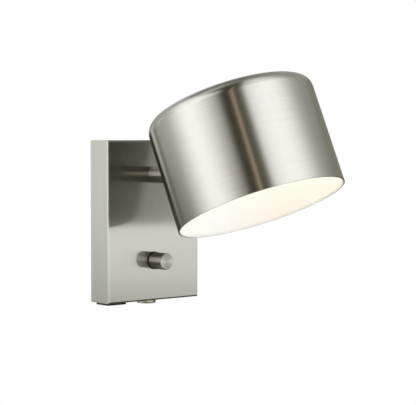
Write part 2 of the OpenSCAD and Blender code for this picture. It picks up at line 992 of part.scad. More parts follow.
module pivot_screw() {
    color([0.62, 0.63, 0.64])
        arm_frame()
            translate([0, pivot_y, 0])
                difference() {
                    union() {
                        rod_x(pivot_dia / 2, -pivot_seat - pivot_nut_t, pivot_seat + lay_gap);
                        rod_x(pivot_head_dia / 2, pivot_seat + lay_gap, pivot_seat + pivot_head_h);
                    }
                    rotate([0, 0, 90])
                        hex_y(pivot_hex_af, -pivot_seat - pivot_head_h - over,
                            -pivot_seat - pivot_head_h + pivot_hex_depth);
                }
}

module pivot_nut() {
    color([0.62, 0.63, 0.64])
        arm_frame()
            translate([0, pivot_y, 0])
                rotate([0, 0, 90])
                    difference() {
                        hex_y(pivot_nut_af, pivot_seat + lay_gap, pivot_seat + pivot_nut_t);
                        rod_y(pivot_dia / 2 + pin_play, 0, arm_dia);
                    }
}

module arm_lead() {
    color([0.88, 0.88, 0.86])
        arm_frame()
            rod_y(lead_dia / 2, pivot_y + fork_floor + run_gap, -nipple_end + lead_tail);
}

// Shade and its fixing

shade_r = shade_dia / 2;
reflector_r = shade_r - shade_wall - reflector_gap;
reflector_top = shade_h - shade_wall - reflector_gap;
reflector_edge = shade_edge_r - shade_wall - reflector_gap;
stack = shade_wall + reflector_gap + reflector_wall;
saddle_in = joint_gap + stack + lay_gap + saddle_flat;
head_nut_in = saddle_in + lay_gap + head_nut_t;
holder_in = head_nut_in + lay_gap;
holder_split = holder_in + holder_cap_l;
holder_mouth = holder_in + holder_l;

// The frame of the shade's own axis: its origin is the middle of the rim
module at_shade() {
    head_frame()
        translate([0, -joint_gap - shade_r, -joint_h])
            children();
}

// Half section of a drum, r in radius and h tall, with its top edge rounded by e
module drum_section(r, h, e) {
    square([r, h - e]);
    square([r - e, h]);
    translate([r - e, h - e])
        circle(e);
}

module drum_shell(r, h, e, wall, floor) {
    rotate_extrude($fn = fine)
        difference() {
            drum_section(r, h, e);
            drum_section(r - wall, h - wall, e - wall);
            translate([0, -over])
                square([r + over, over + floor]);
        }
}

// Hole for the threaded nipple through the back of the drum
module nipple_hole() {
    translate([0, shade_r, joint_h])
        rod_y(nipple_dia / 2 + fit_play, -saddle_dia / 2, over);
}

module shade_shell() {
    color([0.74, 0.73, 0.70])
        at_shade()
            difference() {
                drum_shell(shade_r, shade_h, shade_edge_r, shade_wall, 0);
                nipple_hole();
            }
}

module shade_reflector() {
    color([0.98, 0.97, 0.94])
        at_shade()
            difference() {
                drum_shell(reflector_r, reflector_top, reflector_edge, reflector_wall, reflector_inset);
                nipple_hole();
            }
}

// Tongue that turns in the fork, with a boss shaped to the shade's curve and the threaded nipple
module head_knuckle() {
    color([0.70, 0.69, 0.66])
        head_frame()
            difference() {
                union() {
                    rod_x(tongue_r, -tongue_thick / 2, tongue_thick / 2);
                    block([-tongue_thick / 2, -boss_start - over, -neck_h / 2],
                        [tongue_thick / 2, 0, neck_h / 2]);
                    difference() {
                        union() {
                            translate([0, -boss_start, 0])
                                rotate([90, 0, 0])
                                    cylinder(r1 = arm_r - boss_round, r2 = arm_r, h = boss_round);
                            rod_y(arm_r, -joint_gap - over, -boss_start - boss_round);
                        }
                        translate([0, -joint_gap - shade_r, 0])
                            rod_z(shade_r + lay_gap, -arm_dia, arm_dia, $fn = fine);
                    }
                    rod_y(nipple_dia / 2, -joint_gap - nipple_reach, -boss_start - over);
                }
                rod_x(pivot_dia / 2 + pin_play, -arm_dia, arm_dia);
                rod_y(nipple_bore / 2, -joint_gap - nipple_reach - over, -boss_start - 2 * boss_round);
            }
}

// Washer whose one face follows the curve inside the shade
module saddle_washer() {
    color([0.80, 0.80, 0.80])
        head_frame()
            difference() {
                intersection() {
                    rod_y(saddle_dia / 2, -saddle_in, -joint_gap);
                    translate([0, -joint_gap - shade_r, 0])
                        rod_z(reflector_r - reflector_wall - lay_gap, -saddle_dia, saddle_dia,
                            $fn = fine);
                }
                rod_y(nipple_dia / 2 + pin_play, -saddle_in - over, 0);
            }
}

module holder_nut() {
    color([0.80, 0.72, 0.45])
        head_frame()
            difference() {
                hex_y(lock_af, -head_nut_in, -saddle_in - lay_gap);
                rod_y(nipple_dia / 2 + pin_play, -head_nut_in - over, 0);
            }
}

// Rear half of the lamp holder, screwed on the nipple
module holder_cap() {
    r = holder_dia / 2;
    neck_r = cap_neck_dia / 2;
    thread_r = nipple_dia / 2 + pin_play;
    hollow_r = r - holder_wall;
    color([0.93, 0.93, 0.91])
        head_frame()
            translate([0, -holder_in, 0])
                rotate([90, 0, 0])
                    rotate_extrude()
                        polygon([[thread_r, 0], [neck_r, 0], [neck_r, cap_taper / 2], [r, cap_taper],
                            [r, holder_cap_l], [hollow_r, holder_cap_l],
                            [hollow_r, holder_cap_l - cap_taper / 2],
                            [thread_r, holder_cap_l - cap_taper]]);
}

cavity_floor = holder_mouth - thread_shell_l - contact_rise;
thread_r = bulb_cap_dia / 2 + thread_play + thread_shell_wall;

// Front half of the lamp holder, fluted for grip, with the well for the bulb's cap
module holder_body() {
    r = holder_dia / 2;
    color([0.93, 0.93, 0.91])
        head_frame()
            difference() {
                union() {
                    rod_y(r, -holder_mouth + holder_ring_l - over, -holder_split - lay_gap);
                    rod_y(r + holder_ring_rise, -holder_mouth, -holder_mouth + holder_ring_l);
                }
                rod_y(thread_r + lay_gap, -holder_mouth - over, -cavity_floor);
                for (i = [0 : holder_ribs - 1])
                    rotate([0, i * 360 / holder_ribs, 0])
                        block([r - holder_rib_depth, -holder_mouth + holder_ring_l, -holder_rib_w / 2],
                            [r + over, -holder_split - lay_gap - holder_rib_w, holder_rib_w / 2]);
            }
}

module holder_shell() {
    color([0.80, 0.62, 0.40])
        head_frame()
            difference() {
                rod_y(thread_r, -holder_mouth + shell_inset, -holder_mouth + thread_shell_l);
                rod_y(thread_r - thread_shell_wall, -holder_mouth, -holder_mouth + thread_shell_l + over);
            }
}

bulb_seat = holder_mouth + run_gap;
bulb_tip_y = bulb_seat - bulb_cap_l - tip_cone_l - tip_h;
crown_y = bulb_tip_y + bulb_l;
globe_y = crown_y - globe_dia / 2;
globe_neck_y = bulb_seat + bulb_base_l;

module holder_contact() {
    color([0.80, 0.62, 0.40])
        head_frame() {
            block([-contact_w / 2, -cavity_floor - contact_t - lay_gap, -contact_l / 2],
                [contact_w / 2, -cavity_floor - lay_gap, contact_l / 2]);
            rod_y(contact_pin_dia / 2, -bulb_tip_y + lay_gap, -cavity_floor - lay_gap);
        }
}

// Half section of the globe, r in radius, with a straight neck cone; h runs from its middle to the neck
module globe_section(r, neck_r, h) {
    reach = sqrt(neck_r * neck_r + h * h);
    touch = atan2(h, neck_r) - neck_blend_share * acos(r / reach);
    intersection() {
        circle(r);
        translate([0, -r])
            square([r, r + h]);
    }
    polygon([[0, 0], [r * cos(touch), r * sin(touch)], [neck_r, h], [0, h]]);
}

module bulb_globe() {
    neck_r = bulb_neck_dia / 2 - globe_wall;
    h = globe_y - globe_neck_y - lay_gap;
    color([1, 0.98, 0.92])
        head_frame()
            translate([0, -globe_y, 0])
                rotate([-90, 0, 0])
                    rotate_extrude()
                        difference() {
                            globe_section(globe_dia / 2, neck_r, h);
                            globe_section(globe_dia / 2 - globe_wall, neck_r - globe_wall, h + over);
                        }
}

// Base of the bulb: a collar on the holder's mouth that flares out to the globe
module bulb_base() {
    collar_r = bulb_collar_dia / 2;
    neck_r = bulb_neck_dia / 2;
    color([0.95, 0.95, 0.94])
        head_frame()
            translate([0, -bulb_seat, 0])
                rotate([90, 0, 0])
                    rotate_extrude()
                        polygon([[0, 0], [collar_r, 0], [collar_r, bulb_base_l / 6],
                            [neck_r - globe_wall, bulb_base_l * 2 / 3],
                            [neck_r, bulb_base_l - globe_wall],
                            [neck_r, bulb_base_l], [0, bulb_base_l]]);
}

// Screw cap, its thread drawn as round ridges
module bulb_cap() {
    r = bulb_cap_dia / 2;
    start = (bulb_cap_l - thread_rings * thread_pitch) / 2;
    steps = 8;
    ridge = [for (i = [0 : thread_rings * steps])
        [r - thread_depth * (1 + cos(i * 360 / steps)) / 2, start + i * thread_pitch / steps]];
    color([0.80, 0.78, 0.72])
        head_frame()
            translate([0, -bulb_seat + lay_gap, 0])
                rotate([-90, 0, 0])
                    rotate_extrude()
                        polygon(concat([[0, 0], [r - thread_depth, 0]], ridge,
                            [[r - thread_depth, bulb_cap_l - lay_gap], [0, bulb_cap_l - lay_gap]]));
}

// Insulator and tip contact at the end of the screw cap
module bulb_tip() {
    color([0.30, 0.29, 0.28])
        head_frame()
            translate([0, -bulb_seat + bulb_cap_l + lay_gap, 0])
                rotate([-90, 0, 0]) {
                    cylinder(r1 = insulator_dia / 2, r2 = tip_dia / 2, h = tip_cone_l);
                    cylinder(r = tip_dia / 2, h = tip_cone_l + tip_h - lay_gap);
                }
}

// Leads inside the box: each is a smooth curve from one terminal to the next

function bezier(p, t) = pow(1 - t, 3) * p[0] + 3 * t * pow(1 - t, 2) * p[1]
    + 3 * t * t * (1 - t) * p[2] + pow(t, 3) * p[3];
function slope(p, t) = pow(1 - t, 2) * (p[1] - p[0]) + 2 * t * (1 - t) * (p[2] - p[1])
    + t * t * (p[3] - p[2]);
function unit(v) = v / norm(v);

// A round lead of diameter d along the curve p, in steps rings of sides points.
// The direction across is never along the curve.
module lead(p, d, across, steps, sides) {
    points = [for (i = [0 : steps])
        let (along = unit(slope(p, i / steps)), u = unit(cross(along, across)), v = cross(along, u))
            for (turn = [0 : 360 / sides : 359])
                bezier(p, i / steps) + d / 2 * (cos(turn) * u + sin(turn) * v)];
    faces = concat([[for (j = [0 : sides - 1]) sides - 1 - j]],
        [for (i = [0 : steps - 1], j = [0 : sides - 1])
            let (k = (j + 1) % sides)
                [i * sides + j, i * sides + k, (i + 1) * sides + k, (i + 1) * sides + j]],
        [[for (j = [0 : sides - 1]) steps * sides + j]]);
    polyhedron(points, faces);
}

lead_steps = 14;
lead_sides = 8;
// Straight reach of a lead out of its terminal, and the reach of the bend into the arm
lead_run = 8;
lead_turn = 10;
block_mid_y = -block_front + block_d / 2;
block_low = block_z - block_h / 2;
dimmer_top = knob_z + dimmer_w / 2;
dimmer_mid_y = -(dimmer_front + dimmer_back) / 2;
earth_wire_y = -bracket_t - lay_gap - wire_dia / 2;
charger_top = charger_h - cover_h / 2;
lead_end = nipple_end - lead_tail - run_gap;

module box_leads() {
    live = [[pole_x(2), block_mid_y, block_low - lay_gap],
        [pole_x(2), block_mid_y, block_low - lead_run],
        [-dimmer_w / 4, dimmer_mid_y, dimmer_top + lead_run],
        [-dimmer_w / 4, dimmer_mid_y, dimmer_top + lay_gap]];
    neutral = [[pole_x(1), block_mid_y, block_low - lay_gap],
        [pole_x(1), block_mid_y, block_low - 2 * lead_run],
        [socket_x, socket_y, charger_top + 2 * lead_run], [socket_x, socket_y, charger_top + lay_gap]];
    earth = [[pole_x(0), block_mid_y, block_low + block_h + lay_gap],
        [pole_x(0), block_mid_y, block_low + block_h + lead_run],
        [earth_x - 3 * lead_run, earth_wire_y, earth_z],
        [earth_x - earth_dia, earth_wire_y, earth_z]];
    lamp = [[dimmer_w / 4, dimmer_mid_y, dimmer_top + lay_gap],
        [dimmer_w / 4, dimmer_mid_y, arm_z - 2 * lead_turn],
        [0, lead_turn - lead_end, arm_z],
        [0, -lead_end, arm_z]];
    color([0.55, 0.35, 0.20])
        lead(live, wire_dia, [1, 0, 0], lead_steps, lead_sides);
    color([0.25, 0.35, 0.70])
        lead(neutral, wire_dia, [0, 1, 0], lead_steps, lead_sides);
    color([0.45, 0.60, 0.20])
        lead(earth, wire_dia, [0, 1, 0.2], lead_steps, lead_sides);
    color([0.88, 0.88, 0.86])
        lead(lamp, lead_dia, [1, 0, 0], lead_steps, lead_sides);
}

wall_bracket();
front_cover();
cover_screw();
threaded_insert();
cable_grommet();
terminal_block();
terminal_screws();
earth_screw();
earth_clamp();
dimmer_module();
bush_nut();
bush_ring();
charger_module();
socket_bezel();
port_shell();
port_tongue();
swivel_bush();
box_leads();
arm_tube();
swivel_nipple();
stop_washer();
spring_washer();
swivel_nut();
arm_fork();
friction_washers();
pivot_screw();
pivot_nut();
arm_lead();
shade_shell();
shade_reflector();
head_knuckle();
saddle_washer();
holder_nut();
holder_cap();
holder_body();
holder_shell();
holder_contact();
bulb_globe();
bulb_base();
bulb_cap();
bulb_tip();
dimmer_knob();
dimmer_shaft();
grub_screw();
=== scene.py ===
import json
import math

import bpy
from mathutils import Matrix, Vector

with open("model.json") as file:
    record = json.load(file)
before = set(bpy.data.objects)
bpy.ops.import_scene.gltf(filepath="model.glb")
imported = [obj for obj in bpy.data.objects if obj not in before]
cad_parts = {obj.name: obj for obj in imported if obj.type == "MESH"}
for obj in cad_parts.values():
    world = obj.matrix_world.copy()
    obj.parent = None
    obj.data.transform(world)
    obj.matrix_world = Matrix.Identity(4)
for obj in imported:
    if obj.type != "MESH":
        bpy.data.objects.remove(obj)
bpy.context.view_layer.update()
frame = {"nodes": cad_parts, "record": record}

scene = bpy.context.scene
nodes = frame["nodes"]
MM = 0.001

# Places taken from the frame
joints = {joint["name"]: Vector(joint["pos_m"]) for joint in frame["record"]["behaviour"]["joints"]}
PIVOT = joints["shade_tilt"]
SWIVEL = joints["arm_swivel"]
KNOB = joints["knob_turn"]

# The head's attitude at rest, in degrees, as the part's source has it
REST_TILT = 22
REST_SWIVEL = 4
HEAD_TURN = (Matrix.Rotation(math.radians(-REST_SWIVEL), 3, "Y")
             @ Matrix.Rotation(math.radians(-REST_TILT), 3, "X"))

UP = Vector((0, 0, 1))
INTO_WALL = Vector((0, 1, 0))
RIGHT = Vector((1, 0, 0))

# The head's own directions, and two places in it by their distance from the pivot
SHADE_REACH = 84 * MM
NECK_REACH = 72 * MM
SHADE_AXIS = HEAD_TURN @ UP
HEAD_OUT = HEAD_TURN @ -INTO_WALL
SHADE_CENTRE = PIVOT + HEAD_TURN @ Vector((0, -SHADE_REACH, 0))
BULB_NECK = PIVOT + HEAD_TURN @ Vector((0, -NECK_REACH, 0))
# The middle of the cover screw's head, below the cover
SCREW_HEAD = Vector((0, -13.6 * MM, -70 * MM))


# Small helpers for node trees

def new_material(name):
    """A material with an empty tree, its Principled shader and its output."""
    material = bpy.data.materials.new(name)
    material.use_nodes = True
    tree = material.node_tree
    tree.nodes.clear()
    shader = tree.nodes.new("ShaderNodeBsdfPrincipled")
    output = tree.nodes.new("ShaderNodeOutputMaterial")
    tree.links.new(shader.outputs["BSDF"], output.inputs["Surface"])
    return material, tree, shader


def add(tree, kind, **values):
    """A node of that kind, with its inputs set by name and its options by attribute."""
    node = tree.nodes.new(kind)
    for key, value in values.items():
        if key in node.inputs:
            node.inputs[key].default_value = value
        else:
            setattr(node, key, value)
    return node


def maths(tree, operation, a, b=None, c=None):
    """The result of one maths step on numbers or sockets."""
    node = tree.nodes.new("ShaderNodeMath")
    node.operation = operation
    for socket, value in zip(node.inputs, (a, b, c)):
        if value is None:
            continue
        if isinstance(value, (int, float)):
            socket.default_value = value
        else:
            tree.links.new(value, socket)
    return node.outputs[0]


def vector_maths(tree, operation, a, b=None):
    """The result of one vector step on vectors or sockets."""
    node = tree.nodes.new("ShaderNodeVectorMath")
    node.operation = operation
    for socket, value in zip(node.inputs, (a, b)):
        if value is None:
            continue
        if isinstance(value, (tuple, Vector)):
            socket.default_value = tuple(value)
        else:
            tree.links.new(value, socket)
    return node.outputs["Value" if operation in ("DOT_PRODUCT", "LENGTH") else "Vector"]


def ramp(tree, fac, stops):
    """A colour ramp over fac. Each stop is (place, grey) or (place, (red, green, blue))."""
    node = tree.nodes.new("ShaderNodeValToRGB")
    node.color_ramp.interpolation = "LINEAR"
    elements = node.color_ramp.elements
    while len(elements) > 1:
        elements.remove(elements[-1])
    for index, (place, shade) in enumerate(stops):
        element = elements[0] if index == 0 else elements.new(place)
        element.position = place
        element.color = (*shade, 1) if isinstance(shade, tuple) else (shade, shade, shade, 1)
    tree.links.new(fac, node.inputs["Fac"])
    return node.outputs["Color"]


def mixed(tree, fac, a, b, blend="MIX"):
    """Two colours mixed by fac."""
    node = tree.nodes.new("ShaderNodeMix")
    node.data_type = "RGBA"
    node.blend_type = blend
    for socket, value in ((node.inputs["Factor"], fac), (node.inputs[6], a), (node.inputs[7], b)):
        if isinstance(value, (int, float)):
            socket.default_value = value
        elif isinstance(value, tuple):
            socket.default_value = (*value, 1)
        else:
            tree.links.new(value, socket)
    return node.outputs[2]


def mixed_value(tree, fac, a, b):
    """Number a where fac is 0, and b where it is 1."""
    rise = maths(tree, "SUBTRACT", b, a)
    return maths(tree, "MULTIPLY_ADD", rise, fac, a)


def between(tree, value, edge):
    """0 below the edge's first value, 1 above its second, and smooth between."""
    node = add(tree, "ShaderNodeMapRange", interpolation_type="SMOOTHSTEP")
    node.inputs["From Min"].default_value = edge[0]
    node.inputs["From Max"].default_value = edge[1]
    tree.links.new(value, node.inputs["Value"])
    return node.outputs["Result"]


def object_place(tree):
    """The place on a piece, in the frame at rest."""
    return tree.nodes.new("ShaderNodeTexCoord").outputs["Object"]


def seen_directly(tree):
    """1 for what the camera sees, and metal and glass show, and 0 for the light that surfaces get."""
    path = tree.nodes.new("ShaderNodeLightPath")
    seen = maths(tree, "MAXIMUM", path.outputs["Is Camera Ray"], path.outputs["Is Glossy Ray"])
    return maths(tree, "MAXIMUM", seen, path.outputs["Is Transmission Ray"])


def three_axes(tree, vector):
    """The X, Y and Z of a vector."""
    axes = tree.nodes.new("ShaderNodeSeparateXYZ")
    tree.links.new(vector, axes.inputs[0])
    return axes.outputs["X"], axes.outputs["Y"], axes.outputs["Z"]


def shader_of(material):
    """A finished material's Principled shader."""
    return next(node for node in material.node_tree.nodes if node.type == "BSDF_PRINCIPLED")


def source_of(shader, name):
    """What drives a shader's input so far."""
    return shader.inputs[name].links[0].from_socket


def bumped(tree, shader, height, strength, distance):
    """Raises marks on a surface."""
    bump = add(tree, "ShaderNodeBump", Strength=strength, Distance=distance)
    tree.links.new(height, bump.inputs["Height"])
    tree.links.new(bump.outputs[0], shader.inputs["Normal"])


def dress(material, *names):
    """Gives CAD nodes their finish."""
    for name in names:
        slots = nodes[name].material_slots
        if len(slots) == 0:
            nodes[name].data.materials.append(material)
        for slot in nodes[name].material_slots:
            slot.material = material


# Camera, at the photograph's viewing angle

CAMERA_PLACE = Vector((-0.81409, -1.05205, 0.07496))
CAMERA_LOOKS = Vector((0.648267, 0.760069, -0.045224))
# Focal length and sensor width in millimetres, and the nearest and farthest that it sees in metres
CAMERA_LENS = 129.85
CAMERA_SENSOR = 36
CAMERA_CLIP = (0.01, 50)


def make_camera():
    """The camera, at its place and turned to look along its direction."""
    data = bpy.data.cameras.new("camera")
    data.lens = CAMERA_LENS
    data.sensor_width = CAMERA_SENSOR
    data.clip_start, data.clip_end = CAMERA_CLIP
    camera = bpy.data.objects.new("camera", data)
    scene.collection.objects.link(camera)
    camera.location = CAMERA_PLACE
    camera.rotation_mode = "QUATERNION"
    camera.rotation_quaternion = CAMERA_LOOKS.to_track_quat("-Z", "Y")
    scene.camera = camera


make_camera()
scene.view_settings.view_transform = "Standard"


# The studio. The background is white, two soft lights fall on the object, and its metal mirrors a tent of
# bright and dark panels, which the camera doesn't see

WHITE = (1, 1, 1, 1)
SOFT_LIGHT = 0.75
FLOOR_Z = -0.6
FLOOR_RADIUS = 12
FLOOR_COLOUR = (0.93, 0.93, 0.92)
# Distances from the middle between which the floor gives way to the white background
FLOOR_FADE = (0.7, 1.5)
TENT_RADIUS = 3
# The soft lamps: azimuth and height in degrees, distance and size in metres, and power in watts
LEFT_LAMP = {"azimuth": -100, "elevation": 25, "distance": 1.6, "size": 1.0, "power": 9}
RIGHT_LAMP = {"azimuth": 12, "elevation": 38, "distance": 1.6, "size": 1.0, "power": 7}

# Brightness round the tent, by azimuth in degrees: 0 is straight out from the wall, 90 to its right.
# The strip near -41 is the brown gap between two tall panels
HIGH_STRIP = (0.74, 0.57, 0.43)
LEFT_PANEL = [(-180, 0.60), (-177, 0.46), (-174, 0.36), (-169, 0.42), (-165, 0.58), (-155, 0.62),
              (-143, 0.62), (-136, 0.68), (-131, 0.78), (-124, 1.04), (-117, 1.28), (-108, 1.52),
              (-97, 1.55), (-86, 1.35), (-75, 0.95), (-63, 0.35), (-54, 0.07), (-42.6, 0.06),
              (-41.8, HIGH_STRIP), (-39.6, HIGH_STRIP), (-38.8, 0.09), (-31, 0.10)]
LEVEL_RING = LEFT_PANEL + [(-27, 0.30), (-15, 0.46), (45, 0.46), (60, 0.32), (90, 0.30), (140, 0.30),
                           (168, 0.38), (175, 0.62), (180, 0.60)]
SHELF_RING = LEFT_PANEL + [(45, 0.10), (55, 0.25), (75, 0.30), (90, 0.28), (140, 0.24), (168, 0.32),
                           (175, 0.60), (180, 0.60)]
HIGH_RING = [(-180, 0.50), (-170, 0.46), (-150, 0.76), (-143, 1.10), (-130, 1.25), (-105, 1.42),
             (-86, 1.42), (-74, 1.04), (-66, 0.76), (-60, 0.42), (-56, 0.17), (-53.5, 0.05), (-42.6, 0.05),
             (-41.8, HIGH_STRIP), (-39.6, HIGH_STRIP), (-38.8, 0.09), (-31, 0.15), (-27, 0.32), (-23, 0.84),
             (-19, 1.15), (-10, 1.42), (5, 1.54), (20, 1.50), (34, 1.26), (48, 0.86), (61, 0.58),
             (74, 0.43), (97, 0.38), (140, 0.50), (160, 0.72), (180, 0.50)]
TOP_RING = [(-180, 0.26), (-163, 0.10), (-145, 0.44), (-125, 0.82), (-108, 0.60), (-92, 0.32), (-77, 0.09),
            (-60, 0.07), (-36, 0.08), (-28, 0.30), (-20, 0.66), (5, 1.10), (30, 0.95), (60, 0.52),
            (90, 0.40), (125, 0.27), (150, 0.18), (180, 0.26)]
LOW_RING = [(-180, 0.95), (-177, 0.62), (-174, 0.42), (-169, 0.46), (-164, 0.76), (-150, 0.76),
            (-139, 0.84), (-125, 1.25), (-60, 1.20), (-48, 0.70), (-36, 0.70), (-25, 1.45), (48, 1.45),
            (60, 0.80), (75, 0.34), (100, 0.20), (150, 0.26), (168, 0.50), (176, 0.98), (180, 0.95)]
# Under the lamp it is dark in front and paler behind, where only other views look
UNDER_RING = [(-180, 0.60), (-115, 0.60), (-95, 0.08), (95, 0.08), (150, 0.06), (168, 0.60), (180, 0.60)]
UNDER_EDGE = (-20, -13)
# Below the level the brightness falls, by height in degrees
LOW_FALL = [(-90, 0.07), (-16, 0.09), (-12, 0.12), (-9, 0.30), (-6, 0.78), (-3.4, 1.0)]
ZENITH_SHADE = 0.30
# What a ray meets that two surfaces have mirrored: little light is left between the parts but the strip's,
# which comes in over the first pair of heights, in degrees, and goes out over the second
DEEP_RING = [(-180, 0.24), (-110, 0.24), (-85, 0.13), (-70, (0.60, 0.56, 0.48)), (-52, (0.78, 0.73, 0.63)),
             (-36, (0.86, 0.81, 0.70)), (-29, 0.11), (60, 0.10), (90, 0.24), (180, 0.24)]
DEEP_SHADE = (0.095, 0.094, 0.096)
DEEP_RISE = (-14, -4)
DEEP_DROP = (27, 35)
# The share of light that is left after a third surface
THRICE = 0.3
# A ray counts as mirrored twice or three times above these depths
SECOND_MIRROR = 1.5
THIRD_MIRROR = 2.5
# Heights, in degrees, between which one ring gives way to the next
LOW_EDGE = (-3.8, -3.2)
SHELF_EDGE = (2, 5)
HIGH_EDGE = (16, 22)
TOP_EDGE = (38, 52)
ZENITH_EDGE = (60, 92)
# What is dark in the studio is brownish, and what is bright is nearly white
TINT = [(0, (1.0, 0.93, 0.56)), (0.15, (1.0, 0.955, 0.73)), (0.4, (1.0, 0.99, 0.91)),
        (0.9, (1.0, 1.0, 0.995))]


def make_world():
    """White where the camera, the metal and the glass look, and soft light for everything else."""
    world = bpy.data.worlds.new("studio")
    world.use_nodes = True
    tree = world.node_tree
    tree.nodes.clear()
    soft = add(tree, "ShaderNodeBackground", Color=WHITE, Strength=SOFT_LIGHT)
    white = add(tree, "ShaderNodeBackground", Color=WHITE, Strength=1.0)
    mix = tree.nodes.new("ShaderNodeMixShader")
    tree.links.new(seen_directly(tree), mix.inputs["Fac"])
    tree.links.new(soft.outputs[0], mix.inputs[1])
    tree.links.new(white.outputs[0], mix.inputs[2])
    output = tree.nodes.new("ShaderNodeOutputWorld")
    tree.links.new(mix.outputs[0], output.inputs["Surface"])
    scene.world = world


def ring(tree, turn, stops):
    """The tent's brightness at one height, from its stops by azimuth."""
    return ramp(tree, turn, [((azimuth + 180) / 360, shade) for azimuth, shade in stops])


def make_tent():
    """What the metal mirrors: panels of a studio on a sphere that only glossy rays see.

    Rays that come from between the parts, by the number of times that they were mirrored, see a dimmer set.
    """
    material = bpy.data.materials.new("tent")
    material.use_nodes = True
    tree = material.node_tree
    tree.nodes.clear()
    x, y, z = three_axes(tree, vector_maths(tree, "NORMALIZE", object_place(tree)))
    turn = maths(tree, "ARCTAN2", x, maths(tree, "MULTIPLY", y, -1.0))
    turn = maths(tree, "MULTIPLY_ADD", turn, 0.5 / math.pi, 0.5)
    height = maths(tree, "DEGREES", maths(tree, "ARCSINE", z))
    fall_stops = [((degrees + 90) / 180, share) for degrees, share in LOW_FALL]
    fall = ramp(tree, maths(tree, "MULTIPLY_ADD", height, 1 / 180, 0.5), fall_stops)
    low = mixed(tree, 1.0, ring(tree, turn, LOW_RING), fall, "MULTIPLY")
    low = mixed(tree, between(tree, height, UNDER_EDGE), ring(tree, turn, UNDER_RING), low)
    shade = mixed(tree, between(tree, height, LOW_EDGE), low, ring(tree, turn, LEVEL_RING))
    shade = mixed(tree, between(tree, height, SHELF_EDGE), shade, ring(tree, turn, SHELF_RING))
    shade = mixed(tree, between(tree, height, HIGH_EDGE), shade, ring(tree, turn, HIGH_RING))
    shade = mixed(tree, between(tree, height, TOP_EDGE), shade, ring(tree, turn, TOP_RING))
    shade = mixed(tree, between(tree, height, ZENITH_EDGE), shade, (ZENITH_SHADE,) * 3)
    window = maths(tree, "SUBTRACT", between(tree, height, DEEP_RISE), between(tree, height, DEEP_DROP))
    deep = mixed(tree, window, DEEP_SHADE, ring(tree, turn, DEEP_RING))
    bounces = tree.nodes.new("ShaderNodeLightPath").outputs["Glossy Depth"]
    again = maths(tree, "GREATER_THAN", bounces, SECOND_MIRROR)
    shade = mixed(tree, again, shade, deep)
    thrice = maths(tree, "GREATER_THAN", bounces, THIRD_MIRROR)
    shade = mixed(tree, thrice, shade, mixed(tree, 1.0, shade, (THRICE,) * 3, "MULTIPLY"))
    brightness = tree.nodes.new("ShaderNodeRGBToBW")
    tree.links.new(shade, brightness.inputs[0])
    tint = ramp(tree, brightness.outputs[0], TINT)
    light = add(tree, "ShaderNodeEmission", Strength=1.0)
    tree.links.new(mixed(tree, 1.0, shade, tint, "MULTIPLY"), light.inputs["Color"])
    output = tree.nodes.new("ShaderNodeOutputMaterial")
    tree.links.new(light.outputs[0], output.inputs["Surface"])
    material.cycles.emission_sampling = "NONE"
    bpy.ops.mesh.primitive_uv_sphere_add(segments=48, ring_count=24, radius=TENT_RADIUS)
    tent = bpy.context.object
    tent.name = "tent"
    tent.data.materials.append(material)
    for way in ("camera", "diffuse", "transmission", "volume_scatter", "shadow"):
        setattr(tent, "visible_" + way, False)


def make_floor():
    """A pale floor well below the lamp, which is hung on a wall. It ends in the white background.

    From below it isn't seen, so that views of the lamp's underside stay clear.
    """
    bpy.ops.mesh.primitive_circle_add(vertices=64, radius=FLOOR_RADIUS, fill_type="NGON",
                                      location=(0, 0, FLOOR_Z))
    floor = bpy.context.object
    floor.name = "floor"
    material, tree, shader = new_material("floor")
    shader.inputs["Base Color"].default_value = (*FLOOR_COLOUR, 1)
    shader.inputs["Roughness"].default_value = 0.9
    shader.inputs["Specular IOR Level"].default_value = 0
    white = add(tree, "ShaderNodeEmission", Color=WHITE, Strength=1.0)
    far = between(tree, vector_maths(tree, "LENGTH", object_place(tree)), FLOOR_FADE)
    mix = tree.nodes.new("ShaderNodeMixShader")
    tree.links.new(maths(tree, "MULTIPLY", seen_directly(tree), far), mix.inputs["Fac"])
    tree.links.new(shader.outputs[0], mix.inputs[1])
    tree.links.new(white.outputs[0], mix.inputs[2])
    one_sided = tree.nodes.new("ShaderNodeMixShader")
    tree.links.new(tree.nodes.new("ShaderNodeNewGeometry").outputs["Backfacing"], one_sided.inputs["Fac"])
    tree.links.new(mix.outputs[0], one_sided.inputs[1])
    tree.links.new(tree.nodes.new("ShaderNodeBsdfTransparent").outputs[0], one_sided.inputs[2])
    output = next(node for node in tree.nodes if node.type == "OUTPUT_MATERIAL")
    tree.links.new(one_sided.outputs[0], output.inputs["Surface"])
    floor.data.materials.append(material)
    floor.visible_glossy = False


def make_lamp(name, azimuth, elevation, distance, size, power):
    """A soft square lamp that looks at the object. The tent shows the metal its shape."""
    data = bpy.data.lights.new(name, "AREA")
    data.shape = "SQUARE"
    data.size = size
    data.energy = power
    lamp = bpy.data.objects.new(name, data)
    scene.collection.objects.link(lamp)
    a, e = math.radians(azimuth), math.radians(elevation)
    way = Vector((math.sin(a) * math.cos(e), -math.cos(a) * math.cos(e), math.sin(e)))
    lamp.location = way * distance
    lamp.rotation_mode = "QUATERNION"
    lamp.rotation_quaternion = way.to_track_quat("Z", "Y")
    lamp.visible_glossy = False


make_world()
make_tent()
make_floor()
make_lamp("left_lamp", **LEFT_LAMP)
make_lamp("right_lamp", **RIGHT_LAMP)


# Finishes. Grain runs as the making left it: down the folded box, and round what was spun or turned.
# Colours are linear, and grain is in marks per metre. A pair of numbers is where a change starts and ends

NICKEL = (0.63, 0.625, 0.585)
TONE_SWING = 0.07
# How strongly marks are raised on metal and on mouldings, at depths given in metres
METAL_RELIEF = 0.25
MOULD_RELIEF = 0.35

